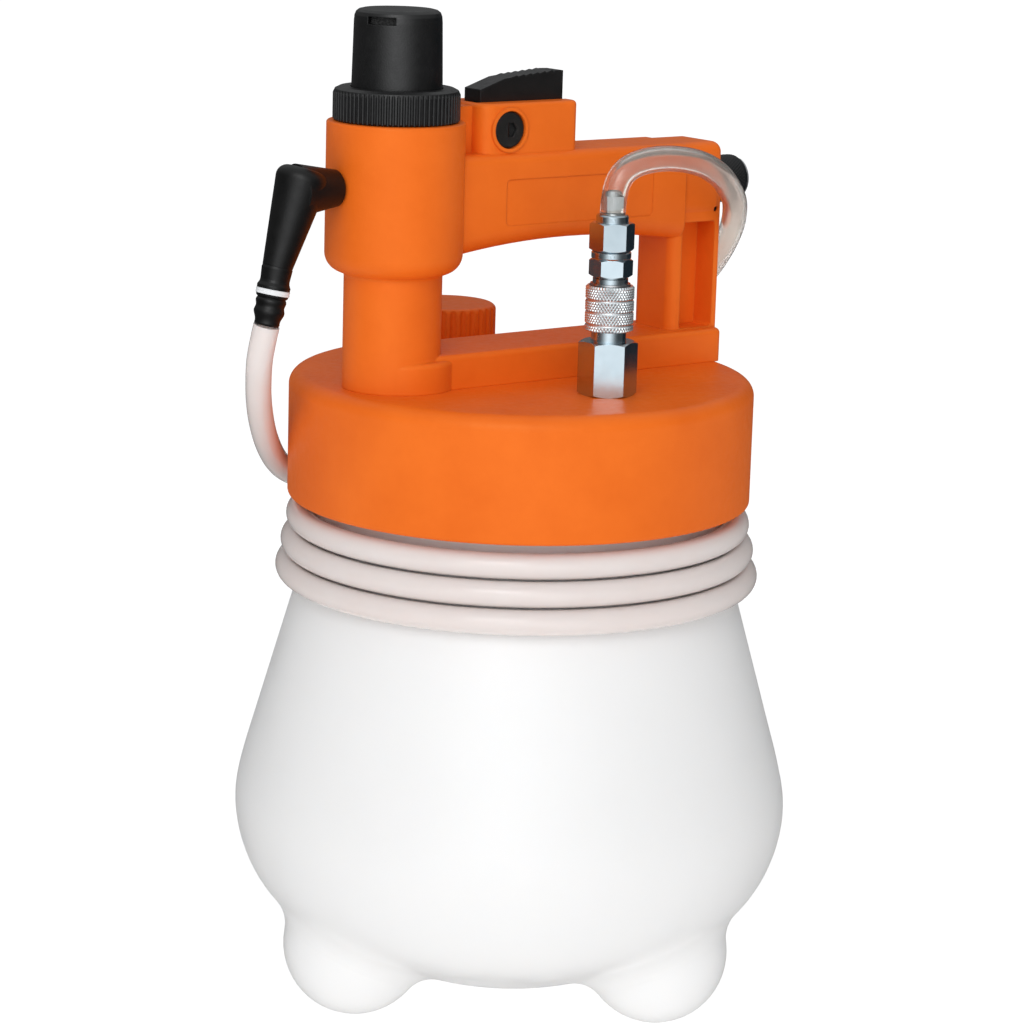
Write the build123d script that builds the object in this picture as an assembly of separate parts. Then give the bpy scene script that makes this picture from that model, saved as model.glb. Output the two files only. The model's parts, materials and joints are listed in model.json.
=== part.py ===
"""Air-driven vacuum pump on a three-footed tank, with its grip, thumb lever, coupler and wound hose.

Millimetres, +Z up. The origin is on the floor under the tank's axis. +X runs along the grip, from
the ejector column (at -X) to the air inlet (at +X). The quick coupler is on the -Y side.
"""
import math
import os

from build123d import *

os.makedirs("parts", exist_ok=True)

# ---- driving dimensions ---------------------------------------------------------------------
# tank
TANK_WALL = 2.6
TANK_FLOOR_Z = 11.8
NECK_R = 86.0
RIM_Z = 262.0
FOOT_R = 30.5            # radius of each foot's bulb
FOOT_CIRCLE_R = 73.5     # distance from the axis to the middle of a foot
FOOT_PAD_R = 8.0         # flat that each foot stands on
FOOT_ANGLES = (52.7, 172.7, 292.7)
THREAD_LEAD = 6.0        # lid's rise in one turn

# lid
LID_R = 97.5
LID_BOTTOM_Z = 218.2
LID_TOP_Z = 270.0
LID_PLATE = 6.0
LID_SKIRT_BORE_R = 89.4
SEAL_GAP = 0.05          # air left each side of a seal between pieces that turn

# handle frame: column, base rib, post and grip in one moulding
COLUMN_X = -67.0
COLUMN_R = 28.0
COLUMN_NECK_R = 20.0
COLUMN_FOOT_R = 22.3     # rounded foot, set off towards the grip
COLUMN_FOOT_X = -62.75
COLUMN_FOOT_TOP_Z = 282.5
COLUMN_TOP_Z = 378.4
RIB_HALF = 18.0
RIB_TOP_Z = 284.3
POST_X0, POST_X1 = 68.8, 95.0
POST_HALF = 13.0
GRIP_HALF = 16.0
GRIP_TOP_Z = 364.6
GRIP_LOW_Z = 328.0
AIR_Z = 346.5            # height of the air inlet's axis
BOSS_X0, BOSS_X1 = -33.8, 15.6
BOSS_HALF = 13.5
BOSS_TOP_Z = 384.8
WEB_HALF = 6.0           # web between the column and the trigger's boss
FRAME_SCREW_XY = ((-36.0, 11.0), (-36.0, -11.0), (72.0, 8.0), (72.0, -8.0))
EJECTOR_BORE_R = 11.0
EJECTOR_FLOOR_Z = 335.0
INLET_BORE_R = 10.0
INLET_PIN_X, INLET_PIN_Z = 92.0, 335.6
EJECTOR_AIR_Z = 352.0    # height of the passage from the valve to the ejector

# trigger and its pivot
PIVOT_X, PIVOT_Z = -20.2, 374.1
TRIGGER_HALF = 5.5
SLOT_HALF = 5.9
SLOT_FLOOR_Z = 365.5
PLUNGER_X = -4.0

# silencer and its ring nut
SPIGOT_R = 22.0
NUT_R = 25.6
NUT_Z0, NUT_Z1 = 378.7, 391.9
SILENCER_TOP_Z = 423.0

# quick coupler and the hose end in it
COUPLER_X, COUPLER_Y = 2.0, -54.5
COUPLER_HEX = 21.0
SLEEVE_R = 10.0
BALL_Z = 309.6           # height of the locking balls
HEX_TURN = -125.0        # direction that a flat of the coupler's hexagon faces

# filler cap
CAP_X, CAP_Y = 4.4, 62.0
CAP_R = 22.1
CAP_Z0, CAP_Z1 = 270.4, 290.7

# hose
HOSE_R = 5.25
COIL_TURNS = ((96.9, 187.0), (94.8, 198.0), (92.6, 209.0))   # radius and height of each turn
ELBOW_Z = 352.8


# ---- helpers --------------------------------------------------------------------------------
def save(name, shape):
    export_step(shape, f"parts/{name}.step")
    return shape


def rod(radius, z0, z1, x=0.0, y=0.0):
    """Upright cylinder from z0 to z1."""
    return Pos(x, y, z0) * Cylinder(radius, z1 - z0, align=(Align.CENTER, Align.CENTER, Align.MIN))


def rod_x(radius, x0, x1, y, z):
    return Pos(x0, y, z) * Rot(0, 90, 0) * Cylinder(radius, x1 - x0,
                                                    align=(Align.CENTER, Align.CENTER, Align.MIN))


def rod_y(radius, y0, y1, x, z):
    return Pos(x, y0, z) * Rot(-90, 0, 0) * Cylinder(radius, y1 - y0,
                                                     align=(Align.CENTER, Align.CENTER, Align.MIN))


def block(x0, x1, y0, y1, z0, z1):
    return Pos((x0 + x1) / 2, (y0 + y1) / 2, (z0 + z1) / 2) * Box(x1 - x0, y1 - y0, z1 - z0)


def turned(points, x=0.0, y=0.0):
    """Solid of revolution about an upright axis from (radius, z) corners."""
    outline = Polyline([(r, 0, z) for r, z in points], close=True)
    return Pos(x, y, 0) * revolve(make_face(outline), Axis.Z)


def hexagon(across_flats, z0, z1, x, y, face_angle):
    """Hexagonal bar with its corners chamfered at both ends."""
    corner_r = across_flats / math.sqrt(3)
    flats = RegularPolygon(corner_r, 6)
    bar = extrude(Rot(0, 0, face_angle + 30) * flats, z1 - z0)
    bevel = corner_r - across_flats / 2
    drop = bevel * 0.55
    height = z1 - z0
    cone = turned([(0, 0), (across_flats / 2, 0), (corner_r + 0.01, drop), (corner_r + 0.01, height - drop),
                   (across_flats / 2, height), (0, height)])
    return Pos(x, y, z0) * (bar & cone)


def ring(radius, wire_r, z, x=0.0, y=0.0):
    return Pos(x, y, z) * Torus(radius, wire_r)


def fluted(radius, depth, count, z0, z1, groove_r):
    """Cylinder with round-bottomed flutes down its side."""
    body = rod(radius, z0, z1)
    centre = radius - depth + groove_r
    cutters = [rod(groove_r, z0 - 1, z1 + 1, centre * math.cos(a), centre * math.sin(a))
               for a in (2 * math.pi * i / count for i in range(count))]
    return body - cutters


def coil_spring(radius, wire_r, z0, z1, turns, x=0.0, y=0.0):
    height = z1 - z0 - 2 * wire_r
    path = Helix(height / turns, height, radius)
    profile = Plane(origin=path @ 0, z_dir=path % 0) * Circle(wire_r)
    return Pos(x, y, z0 + wire_r) * sweep(profile, path, is_frenet=True)


# ---- tank -----------------------------------------------------------------------------------
def tank_outline(inset):
    """Right half of the tank's section, its wall moved inwards by inset."""
    belly = Spline((36, 0, TANK_FLOOR_Z + inset), (71 - inset, 0, 25.0 + inset), (97.4 - inset, 0, 40 + inset),
                   (111 - inset, 0, 57), (117.9 - inset, 0, 83.5), (113.3 - inset, 0, 109.5),
                   tangents=((1, 0, 0.12), (-0.27, 0, 1)))
    floor = Line((0, 0, TANK_FLOOR_Z + inset), (36, 0, TANK_FLOOR_Z + inset))
    side = Polyline((113.3 - inset, 0, 109.5), (91.7 - inset, 0, 184.5), (86.3 - inset, 0, 211.5),
                    (NECK_R - inset, 0, 216), (NECK_R - inset, 0, RIM_Z))
    lid_line = Polyline((NECK_R - inset, 0, RIM_Z), (0, 0, RIM_Z), (0, 0, TANK_FLOOR_Z + inset))
    return make_face(Curve() + [floor, belly, side, lid_line])


def tank_form(inset, blend):
    body = revolve(tank_outline(inset), Axis.Z)
    seams = []
    for angle in FOOT_ANGLES:
        a = math.radians(angle)
        x, y = FOOT_CIRCLE_R * math.cos(a), FOOT_CIRCLE_R * math.sin(a)
        centre_z = math.sqrt(FOOT_R ** 2 - FOOT_PAD_R ** 2)
        body += Pos(x, y, centre_z) * Sphere(FOOT_R - inset)
    for edge in body.edges():
        box = edge.bounding_box()
        middle = math.hypot(box.center().X, box.center().Y)
        if middle > 40 and box.max.Z < 75 and edge.length > 60:
            seams.append(edge)
    if blend:
        body = fillet(seams, blend)
    return body


def thread_ridge(radius, height, z0, turns, outward):
    """One helical ridge standing outward or inward from a wall of the given radius."""
    path = Helix(THREAD_LEAD, THREAD_LEAD * turns, radius)
    reach = height if outward else -height
    root = -0.6 if outward else 0.6
    tooth = Polyline([(radius + root, 0, -1.4), (radius + reach, 0, -0.6), (radius + reach, 0, 0.6),
                      (radius + root, 0, 1.4)], close=True)
    return Pos(0, 0, z0) * sweep(make_face(tooth), path, is_frenet=True)


def make_tank():
    outer = tank_form(0.0, 14.0)
    inner = tank_form(TANK_WALL, 14.0)
    mouth = rod(NECK_R - TANK_WALL, RIM_Z - 4, RIM_Z + 1)
    pads = block(-150, 150, -150, 150, -5, 0)
    return outer - inner - mouth - pads + thread_ridge(NECK_R, 2.9, 240, 1.5, True)


# ---- lid and its gasket ---------------------------------------------------------------------
FILL_NECK_R = 16.0
FILL_NECK_Z = 283.0
STUD_R = 6.5             # coupler's threaded stud


def make_lid():
    lid = fillet(rod(LID_R, LID_BOTTOM_Z, LID_TOP_Z).edges().sort_by(Axis.Z)[-1], 6.0)
    lid = fillet(lid.edges().sort_by(Axis.Z)[0], 1.5)
    lid -= rod(LID_SKIRT_BORE_R, LID_BOTTOM_Z - 1, LID_TOP_Z - LID_PLATE)
    lid += thread_ridge(LID_SKIRT_BORE_R, 2.6, 231.8, 1.5, False)
    lid += rod(FILL_NECK_R, LID_TOP_Z - 1, FILL_NECK_Z, CAP_X, CAP_Y)
    lid -= rod(FILL_NECK_R - 3, LID_TOP_Z - 8, FILL_NECK_Z + 1, CAP_X, CAP_Y)
    lid -= rod(4.0, LID_TOP_Z - 8, LID_TOP_Z + 1, COLUMN_X, 0)
    lid -= rod(STUD_R + 0.05, LID_TOP_Z - 8, LID_TOP_Z + 1, COUPLER_X, COUPLER_Y)
    for x, y in FRAME_SCREW_XY:
        lid -= rod(2.5, LID_TOP_Z - 8, LID_TOP_Z + 1, x, y)
    return lid


def make_lid_gasket():
    z0, z1 = RIM_Z + SEAL_GAP, LID_TOP_Z - LID_PLATE - SEAL_GAP
    return rod(NECK_R, z0, z1) - rod(NECK_R - 6, z0 - 1, z1 + 1)


# ---- handle frame ---------------------------------------------------------------------------
def column():
    """Straight shaft that swells into the ejector's housing, on a rounded foot."""
    shoulder_z, shoulder_low_z = 319.6, 316.9
    outline = Polyline([(0, 0, LID_TOP_Z), (COLUMN_NECK_R, 0, LID_TOP_Z), (COLUMN_NECK_R, 0, shoulder_low_z),
                        (COLUMN_R, 0, shoulder_z), (COLUMN_R, 0, COLUMN_TOP_Z), (SPIGOT_R, 0, COLUMN_TOP_Z),
                        (SPIGOT_R, 0, COLUMN_TOP_Z + 8), (0, 0, COLUMN_TOP_Z + 8)], close=True)
    body = revolve(make_face(outline), Axis.Z)
    for height, radius, blend in ((COLUMN_TOP_Z, COLUMN_R, 1.0), (shoulder_z, COLUMN_R, 8.0),
                                  (shoulder_low_z, COLUMN_NECK_R, 1.6)):
        corner = [e for e in body.edges() if abs(e.center().Z - height) < 0.1
                  and abs(e.length - 2 * math.pi * radius) < 1.0]
        body = fillet(corner, blend)
    foot = rod(COLUMN_FOOT_R, LID_TOP_Z, COLUMN_FOOT_TOP_Z, COLUMN_FOOT_X, 0)
    return Pos(COLUMN_X, 0, 0) * body + fillet(foot.edges().sort_by(Axis.Z)[-1], 2.1)


def base_rib():
    rib = block(COLUMN_X, POST_X1, -RIB_HALF, RIB_HALF, LID_TOP_Z, RIB_TOP_Z)
    rib = fillet(rib.edges().filter_by(Axis.Z).group_by(Axis.X)[-1], 4.0)
    return fillet(rib.faces().sort_by(Axis.Z)[-1].edges(), 2.2)


def post():
    """H-section post: a web between two flanges."""
    body = block(POST_X0, POST_X1, -POST_HALF, POST_HALF, RIB_TOP_Z - 4, AIR_Z)
    body = fillet(body.edges().filter_by(Axis.Z).group_by(Axis.X)[0], 4.8)
    body = fillet(body.edges().filter_by(Axis.Z).group_by(Axis.X)[-1], 1.2)
    pocket = block(POST_X0 + 5.2, POST_X1 - 3.1, 1.3, POST_HALF + 1, RIB_TOP_Z + 0.4, 330.5)
    pocket = fillet(pocket.edges().filter_by(Axis.Y), 1.5)
    return body - pocket - mirror(pocket, Plane.XZ)


def end_housing():
    """Block round the air inlet, stepped in from the grip's sides."""
    half = POST_HALF + 0.8
    body = block(66.0, POST_X1, -half, half, 331.0, GRIP_TOP_Z - 0.2)
    body = fillet([e for e in body.edges().filter_by(Axis.X) if e.center().Z < 332], 7.0)
    body = fillet([e for e in body.edges().filter_by(Axis.Z) if e.center().X > 90], 4.0)
    return fillet([e for e in body.edges() if e.center().Z > GRIP_TOP_Z - 0.3 and e.center().X > 67], 4.5)


def grip():
    end_x = 72.6
    start_x = COLUMN_X + 10
    low = Polyline((end_x, 0, 323.4), (end_x, 0, GRIP_TOP_Z), (start_x, 0, GRIP_TOP_Z), (start_x, 0, 321.0))
    arch = ThreePointArc((start_x, 0, 321.0), (8.0, 0, GRIP_LOW_Z), (end_x, 0, 323.4))
    body = extrude(make_face(Curve() + [low, arch]), GRIP_HALF, both=True)
    long_edges = [e for e in body.edges() if e.length > 100]
    body = fillet([e for e in long_edges if e.center().Z < GRIP_TOP_Z - 5], 7.5)
    body = fillet([e for e in body.edges() if e.length > 100 and e.center().Z > GRIP_TOP_Z - 1], 4.0)
    panel = block(-22.4, 54.5, -GRIP_HALF - 1, -GRIP_HALF + 0.4, 335.2, 354.0)
    return body - fillet(panel.edges().filter_by(Axis.Y), 2.0)


def trigger_boss():
    body = block(BOSS_X0, BOSS_X1, -BOSS_HALF, BOSS_HALF, GRIP_TOP_Z - 8, BOSS_TOP_Z)
    body = fillet(body.edges().filter_by(Axis.Z).group_by(Axis.X)[0], 6.5)
    body = fillet(body.edges().filter_by(Axis.Z).group_by(Axis.X)[-1], 3.5)
    body = fillet(body.faces().sort_by(Axis.Z)[-1].edges(), 1.8)
    web = block(-46.0, BOSS_X0 + 6, -WEB_HALF, WEB_HALF, GRIP_TOP_Z - 8, NUT_Z0 - 0.6)
    web += block(COLUMN_X + NUT_R + 1.0, BOSS_X0 + 6, -WEB_HALF, WEB_HALF, GRIP_TOP_Z - 8, BOSS_TOP_Z - 1.2)
    lip = rod_y(9.2, -BOSS_HALF - 0.9, 0, PIVOT_X, PIVOT_Z)
    return body + web + lip


def frame_bores(frame):
    lever_slot = block(-31.5, 13.4, -SLOT_HALF, SLOT_HALF, SLOT_FLOOR_Z, BOSS_TOP_Z + 1)
    lever_slot += block(13.0, BOSS_X1 + 1, -SLOT_HALF, SLOT_HALF, 374.5, BOSS_TOP_Z + 1)
    frame -= lever_slot
    frame -= rod_y(7.7, -BOSS_HALF - 2, -BOSS_HALF + 4.4, PIVOT_X, PIVOT_Z)
    frame -= rod_y(4.05, -BOSS_HALF, BOSS_HALF + 1, PIVOT_X, PIVOT_Z)
    frame -= rod_y(7.2, BOSS_HALF - 4.4, BOSS_HALF + 2, PIVOT_X, PIVOT_Z)
    frame -= rod(EJECTOR_BORE_R, EJECTOR_FLOOR_Z, COLUMN_TOP_Z + 9, COLUMN_X, 0)
    frame -= rod(4.0, LID_TOP_Z - 1, EJECTOR_FLOOR_Z + 1, COLUMN_X, 0)
    frame -= rod(9.6, LID_TOP_Z - 1, LID_TOP_Z + 1.7, COLUMN_X, 0)
    frame -= rod_x(3.0, COLUMN_X, PLUNGER_X, 0, EJECTOR_AIR_Z)
    frame -= rod_x(3.0, PLUNGER_X, 80.0, 0, AIR_Z)
    frame -= rod_x(INLET_BORE_R, 77.0, POST_X1 + 1, 0, AIR_Z)
    frame -= rod_y(1.3, -20, 20, INLET_PIN_X, INLET_PIN_Z)
    frame -= rod(7.5, 333.0, SLOT_FLOOR_Z + 1, PLUNGER_X, 0)
    frame -= rod_x(3.6, COLUMN_X - COLUMN_R - 1, COLUMN_X - 18, 0, ELBOW_Z)
    for x, y in FRAME_SCREW_XY:
        frame -= rod(2.1, LID_TOP_Z - 1, LID_TOP_Z + 10.5, x, y)
    return frame


def make_handle_frame():
    return frame_bores(column() + base_rib() + post() + end_housing() + grip() + trigger_boss())


def make_frame_screws():
    head_z = LID_TOP_Z - LID_PLATE
    screw = turned([(0, head_z - 3.4), (4.3, head_z - 3.4), (4.3, head_z), (2.45, head_z), (2.45, 269.9),
                    (2.05, 269.9), (2.05, 280.0), (0, 280.0)])
    screw -= Pos(0, 0, head_z - 3.5) * extrude(RegularPolygon(1.9, 6), 2.2)
    return Compound([Pos(x, y, 0) * screw for x, y in FRAME_SCREW_XY])


def make_frame_seal():
    return rod(9.4, LID_TOP_Z + SEAL_GAP, LID_TOP_Z + 1.6, COLUMN_X, 0) - rod(6.0, 269, 273, COLUMN_X, 0)


# ---- trigger and its pivot ------------------------------------------------------------------
def make_trigger():
    steps = 6
    start_x, start_z, run, rise = -13.7, 394.4, 3.6, 0.32
    serrations = []
    for i in range(steps):
        x, z = start_x + i * run, start_z + i * rise
        serrations += [(x, 0, z), (x + run * 0.7, 0, z + rise + 0.4), (x + run, 0, z + rise - 0.4)]
    outline = Polyline([(-29.4, 0, 383.0), (-29.4, 0, 389.9), (-17.3, 0, 394.0)] + serrations
                       + [(8.4, 0, 396.6), (12.6, 0, 396.5), (12.6, 0, 375.4), (-2.0, 0, 369.2),
                          (-6.6, 0, 369.2), (-11.0, 0, 371.0), (-26.0, 0, 371.0)], close=True)
    body = extrude(make_face(outline), TRIGGER_HALF, both=True)
    hub = rod_y(7.2, -TRIGGER_HALF, TRIGGER_HALF, PIVOT_X, PIVOT_Z)
    return body + hub - rod_y(4.06, -20, 20, PIVOT_X, PIVOT_Z)


def make_pivot_screw():
    head_y = -BOSS_HALF + 4.3
    screw = rod_y(7.4, -BOSS_HALF - 0.2, head_y, PIVOT_X, PIVOT_Z)
    screw = fillet(screw.edges().sort_by(Axis.Y)[0], 0.8)
    screw += rod_y(4.0, head_y - 0.1, BOSS_HALF - 4.4, PIVOT_X, PIVOT_Z)
    screw += rod_y(2.5, BOSS_HALF - 4.5, BOSS_HALF - 0.6, PIVOT_X, PIVOT_Z)
    socket = Pos(PIVOT_X, -BOSS_HALF - 0.3, PIVOT_Z) * Rot(-90, 15, 0) * extrude(RegularPolygon(3.3, 6), 3.2)
    return screw - socket


def make_pivot_nut():
    nut = Pos(PIVOT_X, BOSS_HALF - 4.3, PIVOT_Z) * Rot(-90, 0, 0) * extrude(RegularPolygon(6.4, 6), 3.8)
    return nut - rod_y(2.52, 0, 30, PIVOT_X, PIVOT_Z)


# ---- air valve under the trigger ------------------------------------------------------------
def make_valve_body():
    body = rod(7.45, 333.2, SLOT_FLOOR_Z - 0.2, PLUNGER_X, 0)
    body -= rod(4.2, 335.0, 349.5, PLUNGER_X, 0)
    body -= rod(3.3, 349.4, 355.5, PLUNGER_X, 0)
    body -= rod(2.5, 355.0, SLOT_FLOOR_Z + 1, PLUNGER_X, 0)
    body -= rod_x(2.6, PLUNGER_X, PLUNGER_X + 9, 0, AIR_Z - 2.5)
    return body - rod_x(2.2, PLUNGER_X - 9, PLUNGER_X, 0, EJECTOR_AIR_Z)


def make_valve_plunger():
    return turned([(0, 344.6), (3.9, 344.6), (3.9, 347.4), (2.0, 347.4), (2.0, 355.8), (2.44, 355.8),
                   (2.44, 368.3), (1.8, 368.9), (0, 368.9)], PLUNGER_X, 0)


def make_valve_seal():
    return rod(3.85, 347.45, 349.3, PLUNGER_X, 0) - rod(2.1, 347, 350, PLUNGER_X, 0)


def make_valve_spring():
    return coil_spring(3.1, 0.45, 335.05, 344.5, 6, PLUNGER_X, 0)


# ---- air inlet ------------------------------------------------------------------------------
INLET_END_X = 114.4
INLET_THREAD_R = 5.72
INLET_THREAD_LENGTH = 12.0
SPIGOT_X_R = 7.5         # neck that the flow collar turns on


def make_inlet_bush():
    bush = rod_x(INLET_BORE_R - 0.05, 78.0, POST_X1 + 0.6, 0, AIR_Z)
    bush += rod_x(SPIGOT_X_R, POST_X1, INLET_END_X, 0, AIR_Z)
    bush -= rod_x(INLET_THREAD_R, INLET_END_X - INLET_THREAD_LENGTH, INLET_END_X + 1, 0, AIR_Z)
    bush -= rod_x(4.2, 84.0, INLET_END_X - INLET_THREAD_LENGTH + 0.1, 0, AIR_Z)
    bush -= rod_x(3.0, 77.0, 85.0, 0, AIR_Z)
    grooves = [(INLET_PIN_X - 1.4, INLET_PIN_X + 1.4, 9.4), (81.0, 83.2, 8.6),
               (INLET_END_X - 1.5, INLET_END_X - 0.6, 7.0)]
    for x0, x1, floor_r in grooves:
        bush -= rod_x(INLET_BORE_R + 1, x0, x1, 0, AIR_Z) - rod_x(floor_r, x0 - 1, x1 + 1, 0, AIR_Z)
    return bush


def make_inlet_seal():
    return Pos(82.1, 0, AIR_Z) * Rot(0, 90, 0) * Torus(9.3, 0.68)


def make_inlet_filter():
    return rod_x(4.1, 90.0, 97.0, 0, AIR_Z) - rod_x(2.4, 89.0, 94.0, 0, AIR_Z)


def make_inlet_pin():
    return rod_y(1.25, -12.0, 12.0, INLET_PIN_X, INLET_PIN_Z)


def make_flow_collar():
    length = 16.6
    body = fluted(10.3, 0.5, 40, 0, length, 0.55)
    bevel = turned([(0, 0), (9.2, 0), (10.4, 1.2), (10.4, length - 2), (9.0, length), (0, length)])
    collar = Pos(96.2, 0, AIR_Z) * Rot(0, 90, 0) * (body & bevel)
    return collar - rod_x(SPIGOT_X_R + 0.07, 90.0, 115.0, 0, AIR_Z)


def make_inlet_clip():
    x0 = INLET_END_X - 1.4
    clip = rod_x(8.8, x0, x0 + 0.7, 0, AIR_Z) - rod_x(7.05, x0 - 0.5, x0 + 1.2, 0, AIR_Z)
    return clip - block(x0 - 1, x0 + 2, -2.5, 2.5, AIR_Z + 4, AIR_Z + 10)


# ---- ejector --------------------------------------------------------------------------------
def make_venturi_nozzle():
    nozzle = turned([(0, 335.2), (10.8, 335.2), (10.8, 356.0), (5.0, 356.0), (3.0, 363.0), (1.3, 363.0),
                     (1.3, 357.0), (2.5, 352.5), (2.5, 345.0), (0, 345.0)], COLUMN_X, 0)
    nozzle -= rod_x(2.4, COLUMN_X, COLUMN_X + 12, 0, EJECTOR_AIR_Z)
    for i in range(4):
        a = math.radians(45 + 90 * i)
        nozzle -= rod(1.7, 338.0, 357.0, COLUMN_X + 7.4 * math.cos(a), 7.4 * math.sin(a))
    return nozzle - rod(9.0, 334.0, 339.0, COLUMN_X, 0)


def make_diffuser():
    return turned([(10.8, 358.0), (10.8, 385.8), (5.4, 385.8), (2.4, 371.0), (2.4, 366.5), (7.0, 358.0)],
                  COLUMN_X, 0)


def make_diffuser_seal():
    return rod(10.7, 356.1, 357.9, COLUMN_X, 0) - rod(9.3, 355, 359, COLUMN_X, 0)


# ---- silencer and its ring nut --------------------------------------------------------------
def make_silencer_body():
    shell = turned([(11.0, 387.4), (21.6, 387.4), (21.6, 388.7), (18.3, 388.7), (18.3, 392.0), (17.7, 418.0),
                    (17.5, 420.2), (16.9, 421.7), (15.7, 422.6), (14.0, SILENCER_TOP_Z), (0, SILENCER_TOP_Z),
                    (0, 420.6), (15.0, 420.6),
                    (15.6, 392.0), (11.0, 392.0)], COLUMN_X, 0)
    for i in range(2):
        a = math.radians(-148.0 + 180 * i)
        slot = Pos(COLUMN_X + 17.5 * math.cos(a), 17.5 * math.sin(a), 418.9) * Rot(0, 0, math.degrees(a))
        shell -= slot * Box(9.0, 12.0, 3.0)
    return shell


def make_silencer_foam():
    return rod(14.6, 392.3, 420.3, COLUMN_X, 0) - rod(6.0, 391.0, 406.0, COLUMN_X, 0)


def make_silencer_seal():
    return rod(21.4, 386.5, 387.3, COLUMN_X, 0) - rod(14.0, 386, 388, COLUMN_X, 0)


def make_ring_nut():
    body = fluted(NUT_R, 0.75, 76, NUT_Z0, NUT_Z1, 0.7)
    form = turned([(18.65, NUT_Z0), (NUT_R - 0.6, NUT_Z0), (NUT_R + 0.1, NUT_Z0 + 0.7),
                   (NUT_R + 0.1, NUT_Z1 - 2.7), (NUT_R - 0.8, NUT_Z1 - 0.9), (NUT_R - 2.6, NUT_Z1),
                   (18.65, NUT_Z1)])
    bore = rod(SPIGOT_R + 0.3, NUT_Z0 - 1, 389.0)
    return Pos(COLUMN_X, 0, 0) * ((body & form) - bore)


# ---- quick coupler --------------------------------------------------------------------------
def at_coupler(points):
    return turned(points, COUPLER_X, COUPLER_Y)


def make_coupler_body():
    body = hexagon(COUPLER_HEX, LID_TOP_Z, 292.0, COUPLER_X, COUPLER_Y, HEX_TURN)
    body += at_coupler([(0, 291.0), (7.2, 291.0), (7.2, 298.1), (8.5, 298.1), (8.5, 299.6), (7.2, 299.6),
                        (7.2, BALL_Z + 8.1), (0, BALL_Z + 8.1)])
    body += rod(STUD_R, 255.0, LID_TOP_Z + 1, COUPLER_X, COUPLER_Y)
    body -= rod(3.5, 254.0, 300.6, COUPLER_X, COUPLER_Y)
    body -= rod(4.05, 254.0, 260.0, COUPLER_X, COUPLER_Y)
    body -= rod(5.1, 300.1, BALL_Z + 9, COUPLER_X, COUPLER_Y)
    body -= rod(6.2, 302.0, 303.6, COUPLER_X, COUPLER_Y)
    clip_groove = rod(8.0, BALL_Z + 5.3, BALL_Z + 6.2, COUPLER_X, COUPLER_Y)
    body -= clip_groove - rod(6.85, BALL_Z + 5, BALL_Z + 7, COUPLER_X, COUPLER_Y)
    for i in range(6):
        outwards = Rot(0, 0, 60 * i) * Rot(0, 90, 0) * Pos(0, 0, 6.2)
        body -= Pos(COUPLER_X, COUPLER_Y, BALL_Z) * outwards * Cylinder(1.55, 3.6)
    return body


def make_coupler_sleeve():
    """Pull-back sleeve: four bands between rounded grooves, stepped bore for the spring and balls."""
    z0, z1 = 296.4, 314.8
    grooves = (299.1, 304.3, 309.1)
    body = fluted(SLEEVE_R, 0.35, 48, z0, z1, 0.42)
    bands = []
    for middle in grooves:
        bands += [(10.1, middle - 0.8), (9.3, middle), (10.1, middle + 0.8)]
    form = turned([(8.8, z0), (9.4, z0), (10.1, z0 + 0.7)] + bands
                  + [(10.1, z1 - 0.7), (9.4, z1), (8.5, z1), (8.5, BALL_Z + 2.4), (7.3, BALL_Z + 1.9),
                     (7.3, BALL_Z - 2), (8.8, BALL_Z - 2)])
    return Pos(COUPLER_X, COUPLER_Y, 0) * (body & form)


def make_coupler_spring():
    return coil_spring(8.1, 0.4, 299.65, BALL_Z - 2.1, 4, COUPLER_X, COUPLER_Y)


def make_coupler_balls():
    places = [(math.cos(a), math.sin(a)) for a in (math.radians(60 * i) for i in range(6))]
    return Compound([Pos(COUPLER_X + 5.75 * c, COUPLER_Y + 5.75 * s, BALL_Z) * Sphere(1.48)
                     for c, s in places])


def make_coupler_oring():
    return ring(5.6, 0.55, 302.8, COUPLER_X, COUPLER_Y)


def make_coupler_clip():
    z0 = BALL_Z + 5.35
    clip = rod(8.2, z0, z0 + 0.75, COUPLER_X, COUPLER_Y) - rod(6.9, z0 - 1, z0 + 2, COUPLER_X, COUPLER_Y)
    return clip - block(COUPLER_X - 2, COUPLER_X + 2, COUPLER_Y, COUPLER_Y + 10, z0 - 1, z0 + 2)


def make_coupler_nut():
    nut = hexagon(COUPLER_HEX, 258.0, 263.9, COUPLER_X, COUPLER_Y, 0)
    return nut - rod(STUD_R + 0.05, 257, 265, COUPLER_X, COUPLER_Y)


def make_drop_tube():
    return rod(4.0, 232.0, 259.5, COUPLER_X, COUPLER_Y) - rod(2.8, 231, 261, COUPLER_X, COUPLER_Y)


# ---- hose fittings at the coupler -----------------------------------------------------------
HOSE_NUT_TOP_Z = 343.5


def pinholes(radius, z):
    """Small blind holes on opposite sides of a ring at the coupler, facing along its hexagon's flats."""
    facing = Pos(COUPLER_X, COUPLER_Y, z) * Rot(0, 0, HEX_TURN) * Rot(0, 90, 0)
    return facing * Cylinder(0.8, 2 * radius) - rod(radius - 0.6, z - 2, z + 2, COUPLER_X, COUPLER_Y)


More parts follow.
